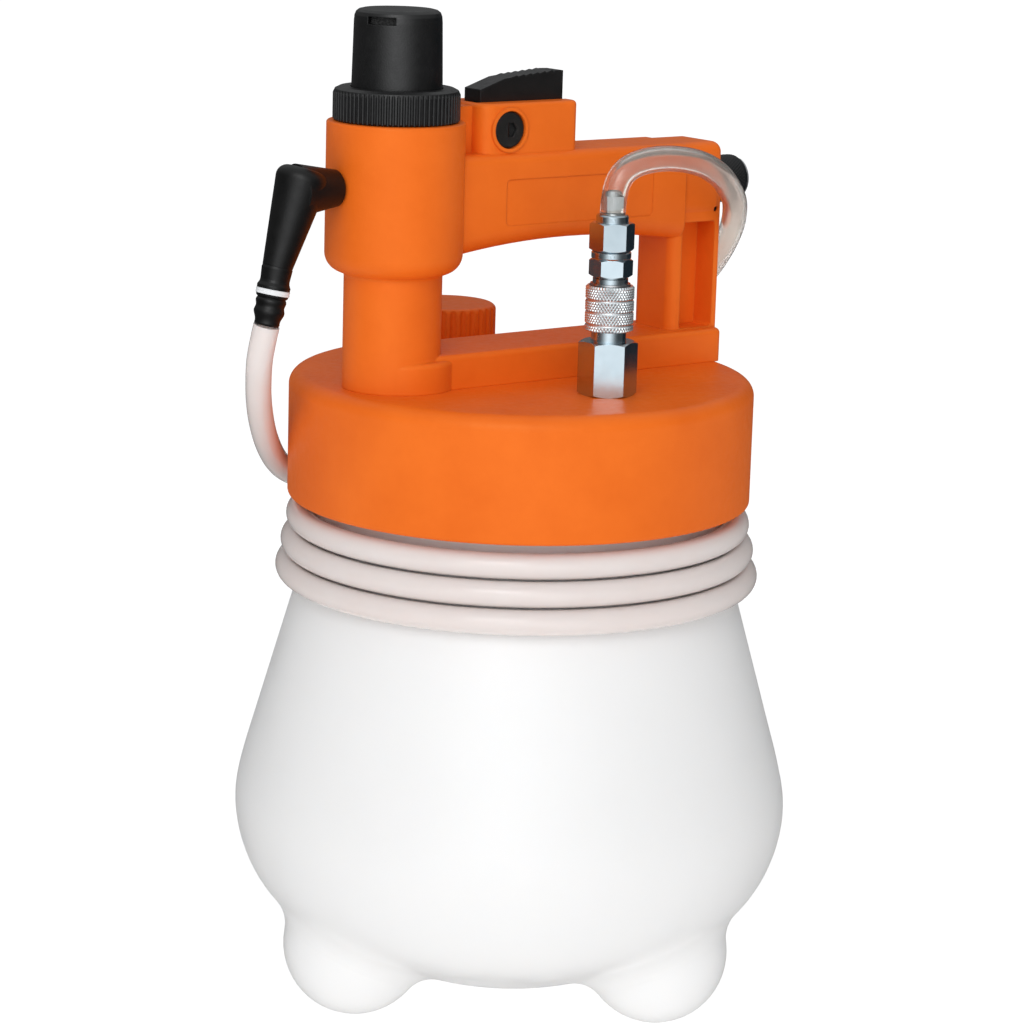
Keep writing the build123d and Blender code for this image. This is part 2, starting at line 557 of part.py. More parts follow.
def make_hose_plug():
    """Plug with its locking groove, a hexagon and a barb."""
    plug = at_coupler([(0, 300.6), (4.95, 300.6), (4.95, BALL_Z - 1.7), (4.2, BALL_Z - 1), (4.2, BALL_Z + 1),
                       (4.95, BALL_Z + 1.7), (4.95, 317.9), (7.0, 318.0), (7.0, 319.0), (0, 319.0)])
    plug += hexagon(15.5, 318.5, 325.6, COUPLER_X, COUPLER_Y, HEX_TURN)
    plug += at_coupler([(0, 325.0), (7.4, 325.0), (8.1, 326.2), (8.1, 328.2), (7.4, 328.9), (0, 328.9)])
    plug += at_coupler([(0, 328.0), (3.4, 328.0), (3.4, 338.0), (3.9, 344.0), (3.4, 344.4), (3.9, 351.0),
                        (3.1, 353.0), (0, 353.0)])
    return plug - rod(2.4, 298.0, 354.0, COUPLER_X, COUPLER_Y) - pinholes(8.1, 327.2)


def make_hose_nut():
    nut = hexagon(16.0, 329.0, 340.3, COUPLER_X, COUPLER_Y, HEX_TURN + 5)
    nut += at_coupler([(0, 340.0), (6.6, 340.0), (6.6, 342.9), (6.1, HOSE_NUT_TOP_Z), (0, HOSE_NUT_TOP_Z)])
    return nut - rod(5.4, 328.0, 345.0, COUPLER_X, COUPLER_Y) - pinholes(6.6, 341.8)


# ---- filler cap -----------------------------------------------------------------------------
def make_fill_cap():
    body = fluted(CAP_R, 1.0, 31, CAP_Z0, CAP_Z1, 1.5)
    form = fillet(rod(CAP_R + 0.1, CAP_Z0, CAP_Z1).edges().sort_by(Axis.Z)[-1], 2.8)
    cap = Pos(CAP_X, CAP_Y, 0) * (body & form)
    return cap - rod(FILL_NECK_R + 0.35, CAP_Z0 - 1, FILL_NECK_Z + 1.3, CAP_X, CAP_Y)


def make_cap_gasket():
    gasket = rod(FILL_NECK_R, FILL_NECK_Z + SEAL_GAP, FILL_NECK_Z + 1.25, CAP_X, CAP_Y)
    return gasket - rod(12.0, 282, 286, CAP_X, CAP_Y)


# ---- float valve over the suction port ------------------------------------------------------
FLOAT_CAGE_R = 12.0


def make_float_cage():
    cage = rod(FLOAT_CAGE_R, 214.0, 263.9, COLUMN_X, 0)
    cage -= rod(11.0, 216.0, 255.4, COLUMN_X, 0)
    cage -= rod(7.05, 255.3, 258.0, COLUMN_X, 0)
    cage -= rod(4.0, 257.0, 265.0, COLUMN_X, 0)
    cage -= rod(7.5, 213.0, 217.0, COLUMN_X, 0)
    for turn in (30, 90, 150):
        window = fillet(Box(40, 6.0, 30).edges().filter_by(Axis.X), 2.9)
        cage -= Pos(COLUMN_X, 0, 235.0) * Rot(0, 0, turn) * window
    return cage


def make_float():
    return turned([(0, 216.4), (9.4, 216.4), (10.4, 217.4), (10.4, 238.0), (9.4, 240.0), (5.6, 240.0),
                   (3.0, 246.6), (0, 246.8)], COLUMN_X, 0)


def make_float_seat():
    return rod(7.0, 255.4, 257.9, COLUMN_X, 0) - rod(4.2, 255, 259, COLUMN_X, 0)


# ---- parking stub and the hose's rubber end -------------------------------------------------
CUFF_TOP = (-122.6, 323.5)      # x, z on the hose end's middle line
CUFF_END = (-127.5, 300.0)
ELBOW_TOP = (-110.5, 361.2)
RING_LOW, RING_HIGH = 12.4, 14.6    # groove for the clip ring, from the hose end's lower face


def make_parking_stub():
    stub = rod_x(3.55, -95.4, -86.0, 0, ELBOW_Z) + rod_x(5.4, -104.0, -95.2, 0, ELBOW_Z)
    return fillet(stub.edges().sort_by(Axis.X)[0], 0.8)


def leaning(bottom, top):
    """Plane at bottom, facing along the hose end's middle line towards top, and the distance."""
    line = Vector(top[0] - bottom[0], 0, top[1] - bottom[1])
    return Plane(origin=(bottom[0], 0, bottom[1]), x_dir=(0, 1, 0), z_dir=line), line.length


def make_hose_elbow():
    """Moulded rubber elbow: a tapered leg with a rounded top, and a tapered arm onto the parking stub."""
    base, length = leaning(CUFF_TOP, ELBOW_TOP)
    low_r, top_r, arm_end_r, arm_root_r = 6.0, 11.1, 7.4, 10.6
    leg = base.location * turned([(0, -0.8), (low_r, -0.8), (top_r, length), (0, length)])
    leg = fillet(leg.edges().sort_by(Axis.Z)[-1], 4.5)
    arm = Pos(-95.2, 0, ELBOW_Z) * Rot(0, -90, 0) * turned([(0, 0), (arm_end_r - 0.8, 0), (arm_end_r, 0.8),
                                                            (arm_root_r, 19.0), (0, 19.0)])
    return leg + arm - rod_x(5.5, -106.0, -95.0, 0, ELBOW_Z)


def make_hose_cuff():
    """Ribbed end of the hose with a collar that enters the elbow and a groove for the clip ring."""
    base, length = leaning(CUFF_END, CUFF_TOP)
    ribs = Spline((5.1, 0, 0.8), (5.3, 0, 3.0), (6.15, 0, 5.8), (5.7, 0, 7.7), (6.1, 0, 9.4), (5.6, 0, 11.0))
    lip = Polyline((5.6, 0, 11.0), (6.3, 0, 11.6), (6.5, 0, RING_LOW), (5.3, 0, RING_LOW), (5.3, 0, RING_HIGH),
                   (6.6, 0, RING_HIGH), (6.7, 0, 15.8), (6.0, 0, 17.2), (5.85, 0, 18.2), (6.2, 0, length - 1.2),
                   (5.9, 0, length), (0, 0, length), (0, 0, 0), (4.6, 0, 0), (5.1, 0, 0.8))
    return base.location * revolve(make_face(Curve() + [ribs, lip]), Axis.Z)


def make_cuff_ring():
    base, _ = leaning(CUFF_END, CUFF_TOP)
    low, high = RING_LOW + 0.05, RING_HIGH - 0.05
    return base.location * turned([(5.35, low), (6.6, low), (6.9, low + 0.4), (6.6, (low + high) / 2),
                                   (6.9, high - 0.4), (6.6, high), (5.35, high)])


# ---- hose -----------------------------------------------------------------------------------
def on_ring(degrees, radius, z):
    a = math.radians(degrees)
    return radius * math.cos(a), radius * math.sin(a), z


SUPPLY_ROUTE = [(2, -54.5, HOSE_NUT_TOP_Z), (2, -54.5, 353.5), (7.5, -55.5, 362.5), (22, -58.5, 366),
                (42, -58.5, 363.5), (60, -52, 356.5), (74.3, -42.5, 348), (88.3, -30.5, 339.8),
                (105.6, -8.2, 323.5), (112.2, 16, 301), (105, 38, 280), (95, 53, 258), (86, 64, 237),
                (78, 73, 221), on_ring(57, 105, 214), on_ring(72, 101, 211), on_ring(88, 95.5, 209.3),
                on_ring(103, 92.6, 209)]
RETURN_ROUTE = [on_ring(-7.3, 96.9, 187), on_ring(12.7, 103, 188), on_ring(32.7, 106.6, 190.5),
                on_ring(52.7, 107.5, 194.5), on_ring(72.7, 108, 199.5), on_ring(87.7, 107.5, 203.5),
                on_ring(102.7, 106, 207.5), on_ring(112.7, 104.5, 211), on_ring(122.7, 103.5, 216),
                on_ring(132.7, 105, 224), (-96.4, 48.3, 242.6), (-116, 23, 263), (-125.9, 8, 279.7),
                (-129, 1.8, 289.5), (-127.5, 0, 300)]


def hose_tube(name, route):
    """Straight runs joined by arcs as large as the runs allow."""
    corners = [Vector(*point) for point in route]
    radii = []
    for before, here, after in zip(corners, corners[1:], corners[2:]):
        arrive, leave = here - before, after - here
        half_turn = math.radians(arrive.get_angle(leave)) / 2
        radii.append(0.45 * min(arrive.length, leave.length) / math.tan(half_turn))
    path = FilletPolyline(*corners, radius=radii)
    tube = sweep(Plane(origin=path @ 0, z_dir=path % 0) * Circle(HOSE_R), path)
    print(name, "length", round(path.length), "bend radii", [round(r) for r in radii],
          "volume ratio", round(tube.volume / (math.pi * HOSE_R ** 2 * path.length), 4))
    return tube


def make_hose_coil():
    """Outer shape of the three turns, joined by a thin web."""
    (r0, z0), _, (r1, z1) = COIL_TURNS
    section = Polygon((r0 - 3, z0), (r0 + 3, z0), (r1 + 3, z1), (r1 - 3, z1), align=None)
    for radius, z in COIL_TURNS:
        section += Pos(radius, z) * Circle(HOSE_R)
    return revolve(Plane.XZ * section, Axis.Z)


# ---- every piece ----------------------------------------------------------------------------
save("tank", make_tank())
save("lid", make_lid())
save("lid_gasket", make_lid_gasket())
save("handle_frame", make_handle_frame())
save("frame_screws", make_frame_screws())
save("frame_seal", make_frame_seal())
save("trigger", make_trigger())
save("pivot_screw", make_pivot_screw())
save("pivot_nut", make_pivot_nut())
save("valve_body", make_valve_body())
save("valve_plunger", make_valve_plunger())
save("valve_seal", make_valve_seal())
save("valve_spring", make_valve_spring())
save("inlet_bush", make_inlet_bush())
save("inlet_seal", make_inlet_seal())
save("inlet_filter", make_inlet_filter())
save("inlet_pin", make_inlet_pin())
save("inlet_clip", make_inlet_clip())
save("flow_collar", make_flow_collar())
save("venturi_nozzle", make_venturi_nozzle())
save("venturi_diffuser", make_diffuser())
save("diffuser_seal", make_diffuser_seal())
save("silencer_body", make_silencer_body())
save("silencer_foam", make_silencer_foam())
save("silencer_seal", make_silencer_seal())
save("ring_nut", make_ring_nut())
save("coupler_body", make_coupler_body())
save("coupler_sleeve", make_coupler_sleeve())
save("coupler_spring", make_coupler_spring())
save("coupler_balls", make_coupler_balls())
save("coupler_oring", make_coupler_oring())
save("coupler_clip", make_coupler_clip())
save("coupler_nut", make_coupler_nut())
save("drop_tube", make_drop_tube())
save("hose_plug", make_hose_plug())
save("hose_nut", make_hose_nut())
save("fill_cap", make_fill_cap())
save("cap_gasket", make_cap_gasket())
save("float_cage", make_float_cage())
save("float", make_float())
save("float_seat", make_float_seat())
save("parking_stub", make_parking_stub())
save("hose_elbow", make_hose_elbow())
save("hose_cuff", make_hose_cuff())
save("cuff_ring", make_cuff_ring())
save("hose_supply", hose_tube("hose_supply", SUPPLY_ROUTE))
save("hose_coil", make_hose_coil())
save("hose_return", hose_tube("hose_return", RETURN_ROUTE))
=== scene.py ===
"""Looks of an air-driven vacuum pump on its tank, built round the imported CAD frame. Metres, +Z up."""

import json
import math

import bpy
from mathutils import Matrix, Vector


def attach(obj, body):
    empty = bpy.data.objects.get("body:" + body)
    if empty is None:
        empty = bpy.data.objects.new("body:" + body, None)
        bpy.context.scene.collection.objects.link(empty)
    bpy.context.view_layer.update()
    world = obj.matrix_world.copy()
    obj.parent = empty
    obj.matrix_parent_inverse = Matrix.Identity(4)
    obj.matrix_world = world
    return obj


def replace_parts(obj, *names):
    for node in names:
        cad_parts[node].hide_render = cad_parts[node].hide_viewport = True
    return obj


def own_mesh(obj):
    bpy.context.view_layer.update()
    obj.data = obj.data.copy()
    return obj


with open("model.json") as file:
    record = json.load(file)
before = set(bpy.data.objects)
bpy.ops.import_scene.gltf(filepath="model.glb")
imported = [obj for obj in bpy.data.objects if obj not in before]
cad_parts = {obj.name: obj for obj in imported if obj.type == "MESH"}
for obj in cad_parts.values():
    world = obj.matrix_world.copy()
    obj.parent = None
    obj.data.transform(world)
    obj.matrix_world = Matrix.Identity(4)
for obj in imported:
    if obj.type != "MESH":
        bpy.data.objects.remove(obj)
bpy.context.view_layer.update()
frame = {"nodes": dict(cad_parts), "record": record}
NODES = frame["nodes"]
RECORD = frame["record"]

# ---- camera ---------------------------------------------------------------------------------
CAMERA_PLACE = Vector((-0.8293, -1.0847, 0.5192))
CAMERA_TARGET = Vector((-0.0019, 0.00145, 0.2100))
CAMERA_ROLL = math.radians(1.68)
CAMERA_LENS, CAMERA_SENSOR = 116.2, 36.0      # millimetres
CAMERA_CLIP = (0.05, 60.0)


def add_camera():
    data = bpy.data.cameras.new("camera")
    data.lens = CAMERA_LENS
    data.sensor_width = CAMERA_SENSOR
    data.clip_start, data.clip_end = CAMERA_CLIP
    camera = bpy.data.objects.new("camera", data)
    look = (CAMERA_TARGET - CAMERA_PLACE).to_track_quat("-Z", "Y").to_matrix().to_4x4()
    camera.matrix_world = Matrix.Translation(CAMERA_PLACE) @ look @ Matrix.Rotation(CAMERA_ROLL, 4, "Z")
    bpy.context.scene.collection.objects.link(camera)
    bpy.context.scene.camera = camera


# ---- shader nodes ---------------------------------------------------------------------------
NOISE_SPAN = (0.3, 0.7)      # where most of a noise texture's values lie
WHOLE_SPAN = (0.0, 1.0)
MIX_A, MIX_B, MIX_RESULT = 6, 7, 2      # a Mix node's colour sockets


def feed(tree, socket, value):
    """Link a socket to another node, or set its number."""
    if isinstance(value, bpy.types.NodeSocket):
        tree.links.new(value, socket)
    else:
        socket.default_value = value


def maths(tree, operation, first, second):
    made = tree.nodes.new("ShaderNodeMath")
    made.operation = operation
    feed(tree, made.inputs[0], first)
    feed(tree, made.inputs[1], second)
    return made.outputs["Value"]


class Shader:
    """A Principled material with short calls for the nodes that feed it."""

    def __init__(self, name):
        self.material = bpy.data.materials.new(name)
        self.material.use_nodes = True
        self.tree = self.material.node_tree
        self.bsdf = self.tree.nodes["Principled BSDF"]
        self.place = self.node("ShaderNodeTexCoord").outputs["Object"]

    def node(self, kind, **inputs):
        made = self.tree.nodes.new(kind)
        for key, value in inputs.items():
            feed(self.tree, made.inputs[key.replace("_", " ")], value)
        return made

    def set(self, **inputs):
        for key, value in inputs.items():
            feed(self.tree, self.bsdf.inputs[key.replace("_", " ")], value)

    def noise(self, scale, detail=3.0, roughness=0.55, stretch=None):
        vector = self.place
        if stretch:
            mapping = self.node("ShaderNodeMapping", Vector=vector, Scale=stretch)
            vector = mapping.outputs["Vector"]
        made = self.node("ShaderNodeTexNoise", Vector=vector, Scale=scale, Detail=detail, Roughness=roughness)
        return made.outputs["Fac"]

    def ramp(self, factor, dark, light, span=NOISE_SPAN):
        """Colour that goes from dark to light while the factor crosses the span."""
        made = self.node("ShaderNodeValToRGB", Fac=factor)
        for element, position, colour in zip(made.color_ramp.elements, span, (dark, light)):
            element.position = position
            element.color = (*colour, 1.0)
        return made.outputs["Color"]

    def vary(self, factor, low, high, span=NOISE_SPAN):
        """Number that goes from low to high while the factor crosses the span."""
        made = self.node("ShaderNodeMapRange", Value=factor, From_Min=span[0], From_Max=span[1],
                         To_Min=low, To_Max=high)
        return made.outputs["Result"]

    def bump(self, height, distance, strength, under=None):
        made = self.node("ShaderNodeBump", Height=height, Distance=distance, Strength=strength)
        if under is not None:
            feed(self.tree, made.inputs["Normal"], under)
        return made.outputs["Normal"]

    def soft_edges(self, radius):
        made = self.node("ShaderNodeBevel", Radius=radius)
        made.samples = 4
        return made.outputs["Normal"]


# ---- materials ------------------------------------------------------------------------------
def moulded_plastic(name, dark, light, roughness, grain, edge, shine=0.5, tint=(1.0, 1.0, 1.0)):
    """Moulded plastic with a fine eroded texture, slight tone drift and softly rounded edges."""
    s = Shader(name)
    drift = s.noise(22.0, 4.0, 0.6)
    speckle = s.noise(1500.0, 2.0, 0.5)
    s.set(Base_Color=s.ramp(drift, dark, light, span=(0.35, 0.68)), Specular_IOR_Level=shine)
    s.set(Specular_Tint=(*tint, 1.0))
    s.set(Roughness=s.vary(s.noise(300.0, 3.0), roughness - 0.05, roughness + 0.07))
    fine = s.bump(speckle, grain, 0.55, s.soft_edges(edge))
    s.set(Normal=s.bump(s.noise(90.0, 3.0), grain * 2.0, 0.25, fine))
    return s.material


def make_orange():
    dark, light = (0.765, 0.130, 0.0095), (0.835, 0.155, 0.0135)
    return moulded_plastic("orange_plastic", dark, light, roughness=0.42, grain=0.0001, edge=0.0008,
                           shine=0.3, tint=(1.0, 0.85, 0.4))


def make_black_plastic(name, edge):
    dark, light = (0.004, 0.004, 0.0042), (0.007, 0.007, 0.0072)
    return moulded_plastic(name, dark, light, roughness=0.38, grain=0.0001, edge=edge)


def make_tank_plastic():
    """Milky plastic that scatters light inside it, with a faint waviness."""
    s = Shader("tank_plastic")
    s.set(Base_Color=s.ramp(s.noise(9.0, 3.0), (0.84, 0.832, 0.824), (0.865, 0.855, 0.846)))
    s.set(Roughness=s.vary(s.noise(60.0, 4.0), 0.30, 0.40))
    s.set(Subsurface_Weight=0.6, Subsurface_Radius=(1.0, 0.95, 0.9), Subsurface_Scale=0.003, IOR=1.5)
    s.set(Normal=s.bump(s.noise(35.0, 4.0, 0.5), 0.0006, 0.12))
    return s.material


def make_metal(name, dark, light, roughness, worn=True):
    """Plated or turned metal: faint grain and small tone changes, with softened edges where worn."""
    s = Shader(name)
    s.set(Base_Color=s.ramp(s.noise(60.0, 3.0, 0.5), dark, light), Metallic=1.0)
    s.set(Roughness=s.vary(s.noise(200.0, 3.0), roughness - 0.03, roughness + 0.04))
    edges = s.soft_edges(0.00015) if worn else None
    s.set(Normal=s.bump(s.noise(900.0, 2.0, 0.5), 0.000006, 0.3, edges))
    return s.material


def make_dull_black(name, tone, roughness):
    """Rubber or blackened steel, finely grained and a little lighter in places."""
    s = Shader(name)
    lighter = (tone * 1.6, tone * 1.58, tone * 1.55)
    s.set(Base_Color=s.ramp(s.noise(70.0, 4.0), (tone, tone, tone), lighter, span=(0.3, 0.75)))
    s.set(Roughness=s.vary(s.noise(260.0, 4.0), roughness - 0.06, roughness + 0.1), Specular_IOR_Level=0.3)
    s.set(Normal=s.bump(s.noise(1100.0, 2.0), 0.0001, 0.4, s.soft_edges(0.0005)))
    return s.material


def make_clear_hose():
    """Clear near the coupler; along the turns and at the end by the elbow it turns milky pinkish white, which
    is painted light: the lit tank and orange lid seen through the hose. The warm tint of the clear part is
    painted too: the orange seen through it.
    """
    s = Shader("clear_hose")
    axes = s.node("ShaderNodeSeparateXYZ", Vector=s.place).outputs
    high = s.vary(axes["Z"], 0.0, 1.0, span=(0.225, 0.325))
    right = s.vary(axes["X"], 0.0, 1.0, span=(-0.06, -0.02))
    # 1 where the hose is clear; towards 0 it turns milky pinkish white, painted light in place of what shows
    # through the hose
    clear = maths(s.tree, "MULTIPLY", high, right)
    drift = s.noise(30.0, 3.0)
    mix = s.node("ShaderNodeMix")
    mix.data_type = "RGBA"
    feed(s.tree, mix.inputs["Factor"], clear)
    # Milky pinkish white of the turns: painted light of the lit tank and orange lid seen through them
    feed(s.tree, mix.inputs[MIX_A], s.ramp(drift, (0.97, 0.855, 0.82), (0.985, 0.89, 0.86)))
    # Warm tint of the clear part: painted orange seen through the hose
    feed(s.tree, mix.inputs[MIX_B], s.ramp(drift, (0.86, 0.79, 0.73), (0.91, 0.86, 0.81)))
    s.set(Base_Color=mix.outputs[MIX_RESULT], IOR=1.42)
    s.set(Transmission_Weight=s.vary(clear, 0.3, 0.93, WHOLE_SPAN))
    s.set(Roughness=s.vary(clear, 0.15, 0.12, WHOLE_SPAN))
    s.set(Subsurface_Weight=0.3, Subsurface_Radius=(1.0, 0.9, 0.85), Subsurface_Scale=0.002)
    s.set(Normal=s.bump(s.noise(220.0, 2.0, 0.4, stretch=(1.0, 1.0, 0.4)), 0.0002, 0.12))
    return s.material


def make_white_plastic():
    s = Shader("white_plastic")
    s.set(Base_Color=s.ramp(s.noise(60.0), (0.78, 0.79, 0.80), (0.86, 0.87, 0.88)))
    s.set(Roughness=s.vary(s.noise(300.0), 0.22, 0.34), Subsurface_Weight=0.2)
    s.set(Subsurface_Radius=(1.0, 1.0, 1.0), Subsurface_Scale=0.002)
    s.set(Normal=s.bump(s.noise(700.0), 0.00006, 0.3))
    return s.material


def make_foam():
    s = Shader("foam")
    cells = s.node("ShaderNodeTexVoronoi", Vector=s.place, Scale=900.0).outputs["Distance"]
    s.set(Base_Color=s.ramp(cells, (0.008, 0.008, 0.008), (0.03, 0.03, 0.03), span=(0.1, 0.7)), Roughness=0.9)
    s.set(Normal=s.bump(cells, 0.0004, 0.8))
    return s.material


def make_sinter():
    """Small bronze grains pressed together."""
    s = Shader("sinter")
    grains = s.node("ShaderNodeTexVoronoi", Vector=s.place, Scale=1400.0).outputs["Distance"]
    s.set(Base_Color=s.ramp(grains, (0.28, 0.15, 0.06), (0.62, 0.42, 0.2), span=(0.1, 0.7)))
    s.set(Metallic=1.0, Roughness=0.5, Normal=s.bump(grains, 0.0002, 0.8))
    return s.material


def make_materials():
    return {
        "tank_plastic": make_tank_plastic(),
        "orange_plastic": make_orange(),
        "black_plastic": make_black_plastic("black_plastic", 0.0006),
        "black_knurled": make_black_plastic("black_knurled", 0.0002),
        "zinc_steel": make_metal("zinc_steel", (0.43, 0.51, 0.555), (0.52, 0.60, 0.645), 0.22),
        # A lighter copy of zinc steel: painted sheen standing in for the glints of the sleeve's fine knurl
        "zinc_knurled_painted_sheen": make_metal("zinc_knurled_painted_sheen", (0.74, 0.80, 0.82), (0.84, 0.89, 0.91), 0.34, worn=False),
        "black_steel": make_dull_black("black_steel", 0.010, 0.32),
        "spring_steel": make_metal("spring_steel", (0.45, 0.45, 0.46), (0.62, 0.62, 0.63), 0.28),
        "brass": make_metal("brass", (0.62, 0.42, 0.16), (0.80, 0.60, 0.28), 0.25),
        "seal_rubber": make_dull_black("seal_rubber", 0.012, 0.55),
        "elbow_rubber": make_dull_black("elbow_rubber", 0.003, 0.36),
        "clear_hose": make_clear_hose(),
        "white_plastic": make_white_plastic(),
        "foam": make_foam(),
        "sinter": make_sinter(),
    }


MATERIALS = make_materials()
NODE_SLOTS = {sub["node"]: sub["material_slot"] for sub in RECORD["subparts"]}


def dress_nodes():
    for name, node in NODES.items():
        node.data.materials.clear()
        node.data.materials.append(MATERIALS[NODE_SLOTS[name]])


# ---- mesh helpers ---------------------------------------------------------------------------
def add_piece(name, mesh, slot, body, material=None):
    """An object that rides on a body, dressed in its slot's material unless another is given."""
    piece = bpy.data.objects.new(name, mesh)
    bpy.context.scene.collection.objects.link(piece)
    mesh.materials.clear()
    mesh.materials.append(MATERIALS[material or slot])
    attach(piece, body)
    return piece


def mesh_from(name, points, faces, smooth_angle=40.0):
    mesh = bpy.data.meshes.new(name)
    mesh.from_pydata([tuple(p) for p in points], [], faces)
    mesh.validate()
    mesh.shade_smooth()
    mesh.set_sharp_from_angle(angle=math.radians(smooth_angle))
    return mesh


def ring_faces(rows, sides):
    """Quads between rows of points, where the last row joins the first."""
    faces = []
    for i in range(rows):
        for j in range(sides):
            a, b = i * sides + j, i * sides + (j + 1) % sides
            c, d = ((i + 1) % rows) * sides + (j + 1) % sides, ((i + 1) % rows) * sides + j
            faces.append((a, b, c, d))
    return faces


def lathe(name, outline, sides, origin, axis, relief, smooth_angle):
    """A closed outline of (radius, height) corners, turned about an axis through the origin given.
    relief(angle, height, radius) is added to the radius of each point."""
    turn = Vector(axis).to_track_quat("Z", "Y").to_matrix().to_4x4()
    place = Matrix.Translation(Vector(origin)) @ turn
    points = []
    for radius, height in outline:
        for j in range(sides):
            a = 2 * math.pi * j / sides
            r = radius + relief(a, height, radius)
            points.append(place @ Vector((r * math.cos(a), r * math.sin(a), height)))
    return mesh_from(name, points, ring_faces(len(outline), sides), smooth_angle)


# ---- knurled rings --------------------------------------------------------------------------
KNURL_STARTS = 48
KNURL_PITCH = 0.0020
KNURL_DEPTH = 0.0005
KNURL_STEP = KNURL_PITCH / 8
KNURL_SIDES = 4 * KNURL_STARTS
KNURL_SMOOTH_ANGLE = 24.0            # degrees, less than the bend at the diamonds' edges
SAME_RADIUS = 1e-6
COUPLER = (0.002, -0.0545)
SLEEVE_R = 0.0100
SLEEVE_Z0, SLEEVE_Z1 = 0.2964, 0.3148
SLEEVE_FOOT_R, SLEEVE_FOOT_RISE = 0.0093, 0.0005     # chamfer at the bottom
SLEEVE_HEAD_R, SLEEVE_HEAD_DROP = 0.0092, 0.0008     # chamfer at the top
SLEEVE_BORE_R, SLEEVE_LIP_R, SLEEVE_MOUTH_R = 0.0088, 0.0073, 0.0085
SLEEVE_LIP_Z0, SLEEVE_LIP_Z1, SLEEVE_MOUTH_Z0 = 0.3076, 0.3115, 0.3120
SLEEVE_GROOVES = (0.2991, 0.3043, 0.3091)
GROOVE_HALF_WIDTH, GROOVE_HALF_FLOOR = 0.0005, 0.0002
GROOVE_DEPTH, GROOVE_SIDE_DEPTH = 0.0007, 0.0006
COLLAR_R = 0.0103
COLLAR_X0, COLLAR_LENGTH = 0.0962, 0.0166
COLLAR_INNER_R, COLLAR_INNER_RISE = 0.0092, 0.0011   # chamfer next to the housing
COLLAR_OUTER_R, COLLAR_OUTER_DROP = 0.0090, 0.0019   # chamfer at the far end
COLLAR_BORE_R = 0.00757
AIR_Z = 0.3465


def zigzag(turns):
    """Nought at whole numbers, one half way between them."""
    return 2 * abs(turns - round(turns))


def knurl(crest):
    """Diamond knurl cut into the rows that lie at the crest radius."""
    def relief(angle, height, radius):
        if radius < crest - SAME_RADIUS:
            return 0.0
        round_part, rise = KNURL_STARTS * angle / (2 * math.pi), height / KNURL_PITCH
        return KNURL_DEPTH * (min(zigzag(round_part + rise), zigzag(round_part - rise)) - 1)
    return relief


def band(crest, low, high):
    """Rows of one knurled band, close enough together to carry the diamonds."""
    rows = max(2, round((high - low) / KNURL_STEP))
    return [(crest, low + (high - low) * i / rows) for i in range(rows + 1)]


def add_coupler_sleeve():
    """Pull-back sleeve with knurled bands between rounded grooves."""
    outline = [(SLEEVE_BORE_R, SLEEVE_Z0), (SLEEVE_FOOT_R, SLEEVE_Z0)]
    low = SLEEVE_Z0 + SLEEVE_FOOT_RISE
    for groove in SLEEVE_GROOVES:
        outline += band(SLEEVE_R, low, groove - GROOVE_HALF_WIDTH)
        outline.append((SLEEVE_R - GROOVE_SIDE_DEPTH, groove - GROOVE_HALF_FLOOR))
        outline.append((SLEEVE_R - GROOVE_DEPTH, groove))
        outline.append((SLEEVE_R - GROOVE_SIDE_DEPTH, groove + GROOVE_HALF_FLOOR))
        low = groove + GROOVE_HALF_WIDTH
    outline += band(SLEEVE_R, low, SLEEVE_Z1 - SLEEVE_HEAD_DROP)
    outline += [(SLEEVE_HEAD_R, SLEEVE_Z1), (SLEEVE_MOUTH_R, SLEEVE_Z1), (SLEEVE_MOUTH_R, SLEEVE_MOUTH_Z0),
                (SLEEVE_LIP_R, SLEEVE_LIP_Z1), (SLEEVE_LIP_R, SLEEVE_LIP_Z0), (SLEEVE_BORE_R, SLEEVE_LIP_Z0)]
    mesh = lathe("sleeve_knurled", outline, KNURL_SIDES, (*COUPLER, 0.0), (0, 0, 1), knurl(SLEEVE_R),
                 KNURL_SMOOTH_ANGLE)
    # The sleeve wears the lighter zinc copy, painted sheen for the glints of its knurl
    sleeve = add_piece("sleeve_knurled", mesh, "zinc_steel", "coupler_sleeve", "zinc_knurled_painted_sheen")
    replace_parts(sleeve, "coupler_sleeve")


def add_flow_collar():
    """Knurled collar that turns round the air inlet."""
    outline = [(COLLAR_BORE_R, 0.0), (COLLAR_INNER_R, 0.0)]
    outline += band(COLLAR_R, COLLAR_INNER_RISE, COLLAR_LENGTH - COLLAR_OUTER_DROP)
    outline += [(COLLAR_OUTER_R, COLLAR_LENGTH), (COLLAR_BORE_R, COLLAR_LENGTH)]
    mesh = lathe("collar_knurled", outline, KNURL_SIDES, (COLLAR_X0, 0.0, AIR_Z), (1, 0, 0), knurl(COLLAR_R),
                 KNURL_SMOOTH_ANGLE)
    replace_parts(add_piece("collar_knurled", mesh, "black_knurled", "flow_collar"), "flow_collar")


# ---- hose -----------------------------------------------------------------------------------
HOSE_R = 0.00525
HOSE_BORE_R = 0.0035
HOSE_SIDES = 28
LINE_DETAIL = 8                            # points for each control point
COIL_TURNS = ((0.0926, 0.209), (0.0948, 0.198), (0.0969, 0.187))   # radius and height, top turn first
COIL_START, COIL_END = 103.0, 1072.7       # degrees round the tank, over three turns
CROSSOVERS = (372.7, 732.7)                # where the hose starts to step down to the next turn
CROSSOVER_SPAN = 40.0
COIL_POINTS = 64


def on_ring(degrees, radius, z):
    a = math.radians(degrees)
    return radius * math.cos(a), radius * math.sin(a), z


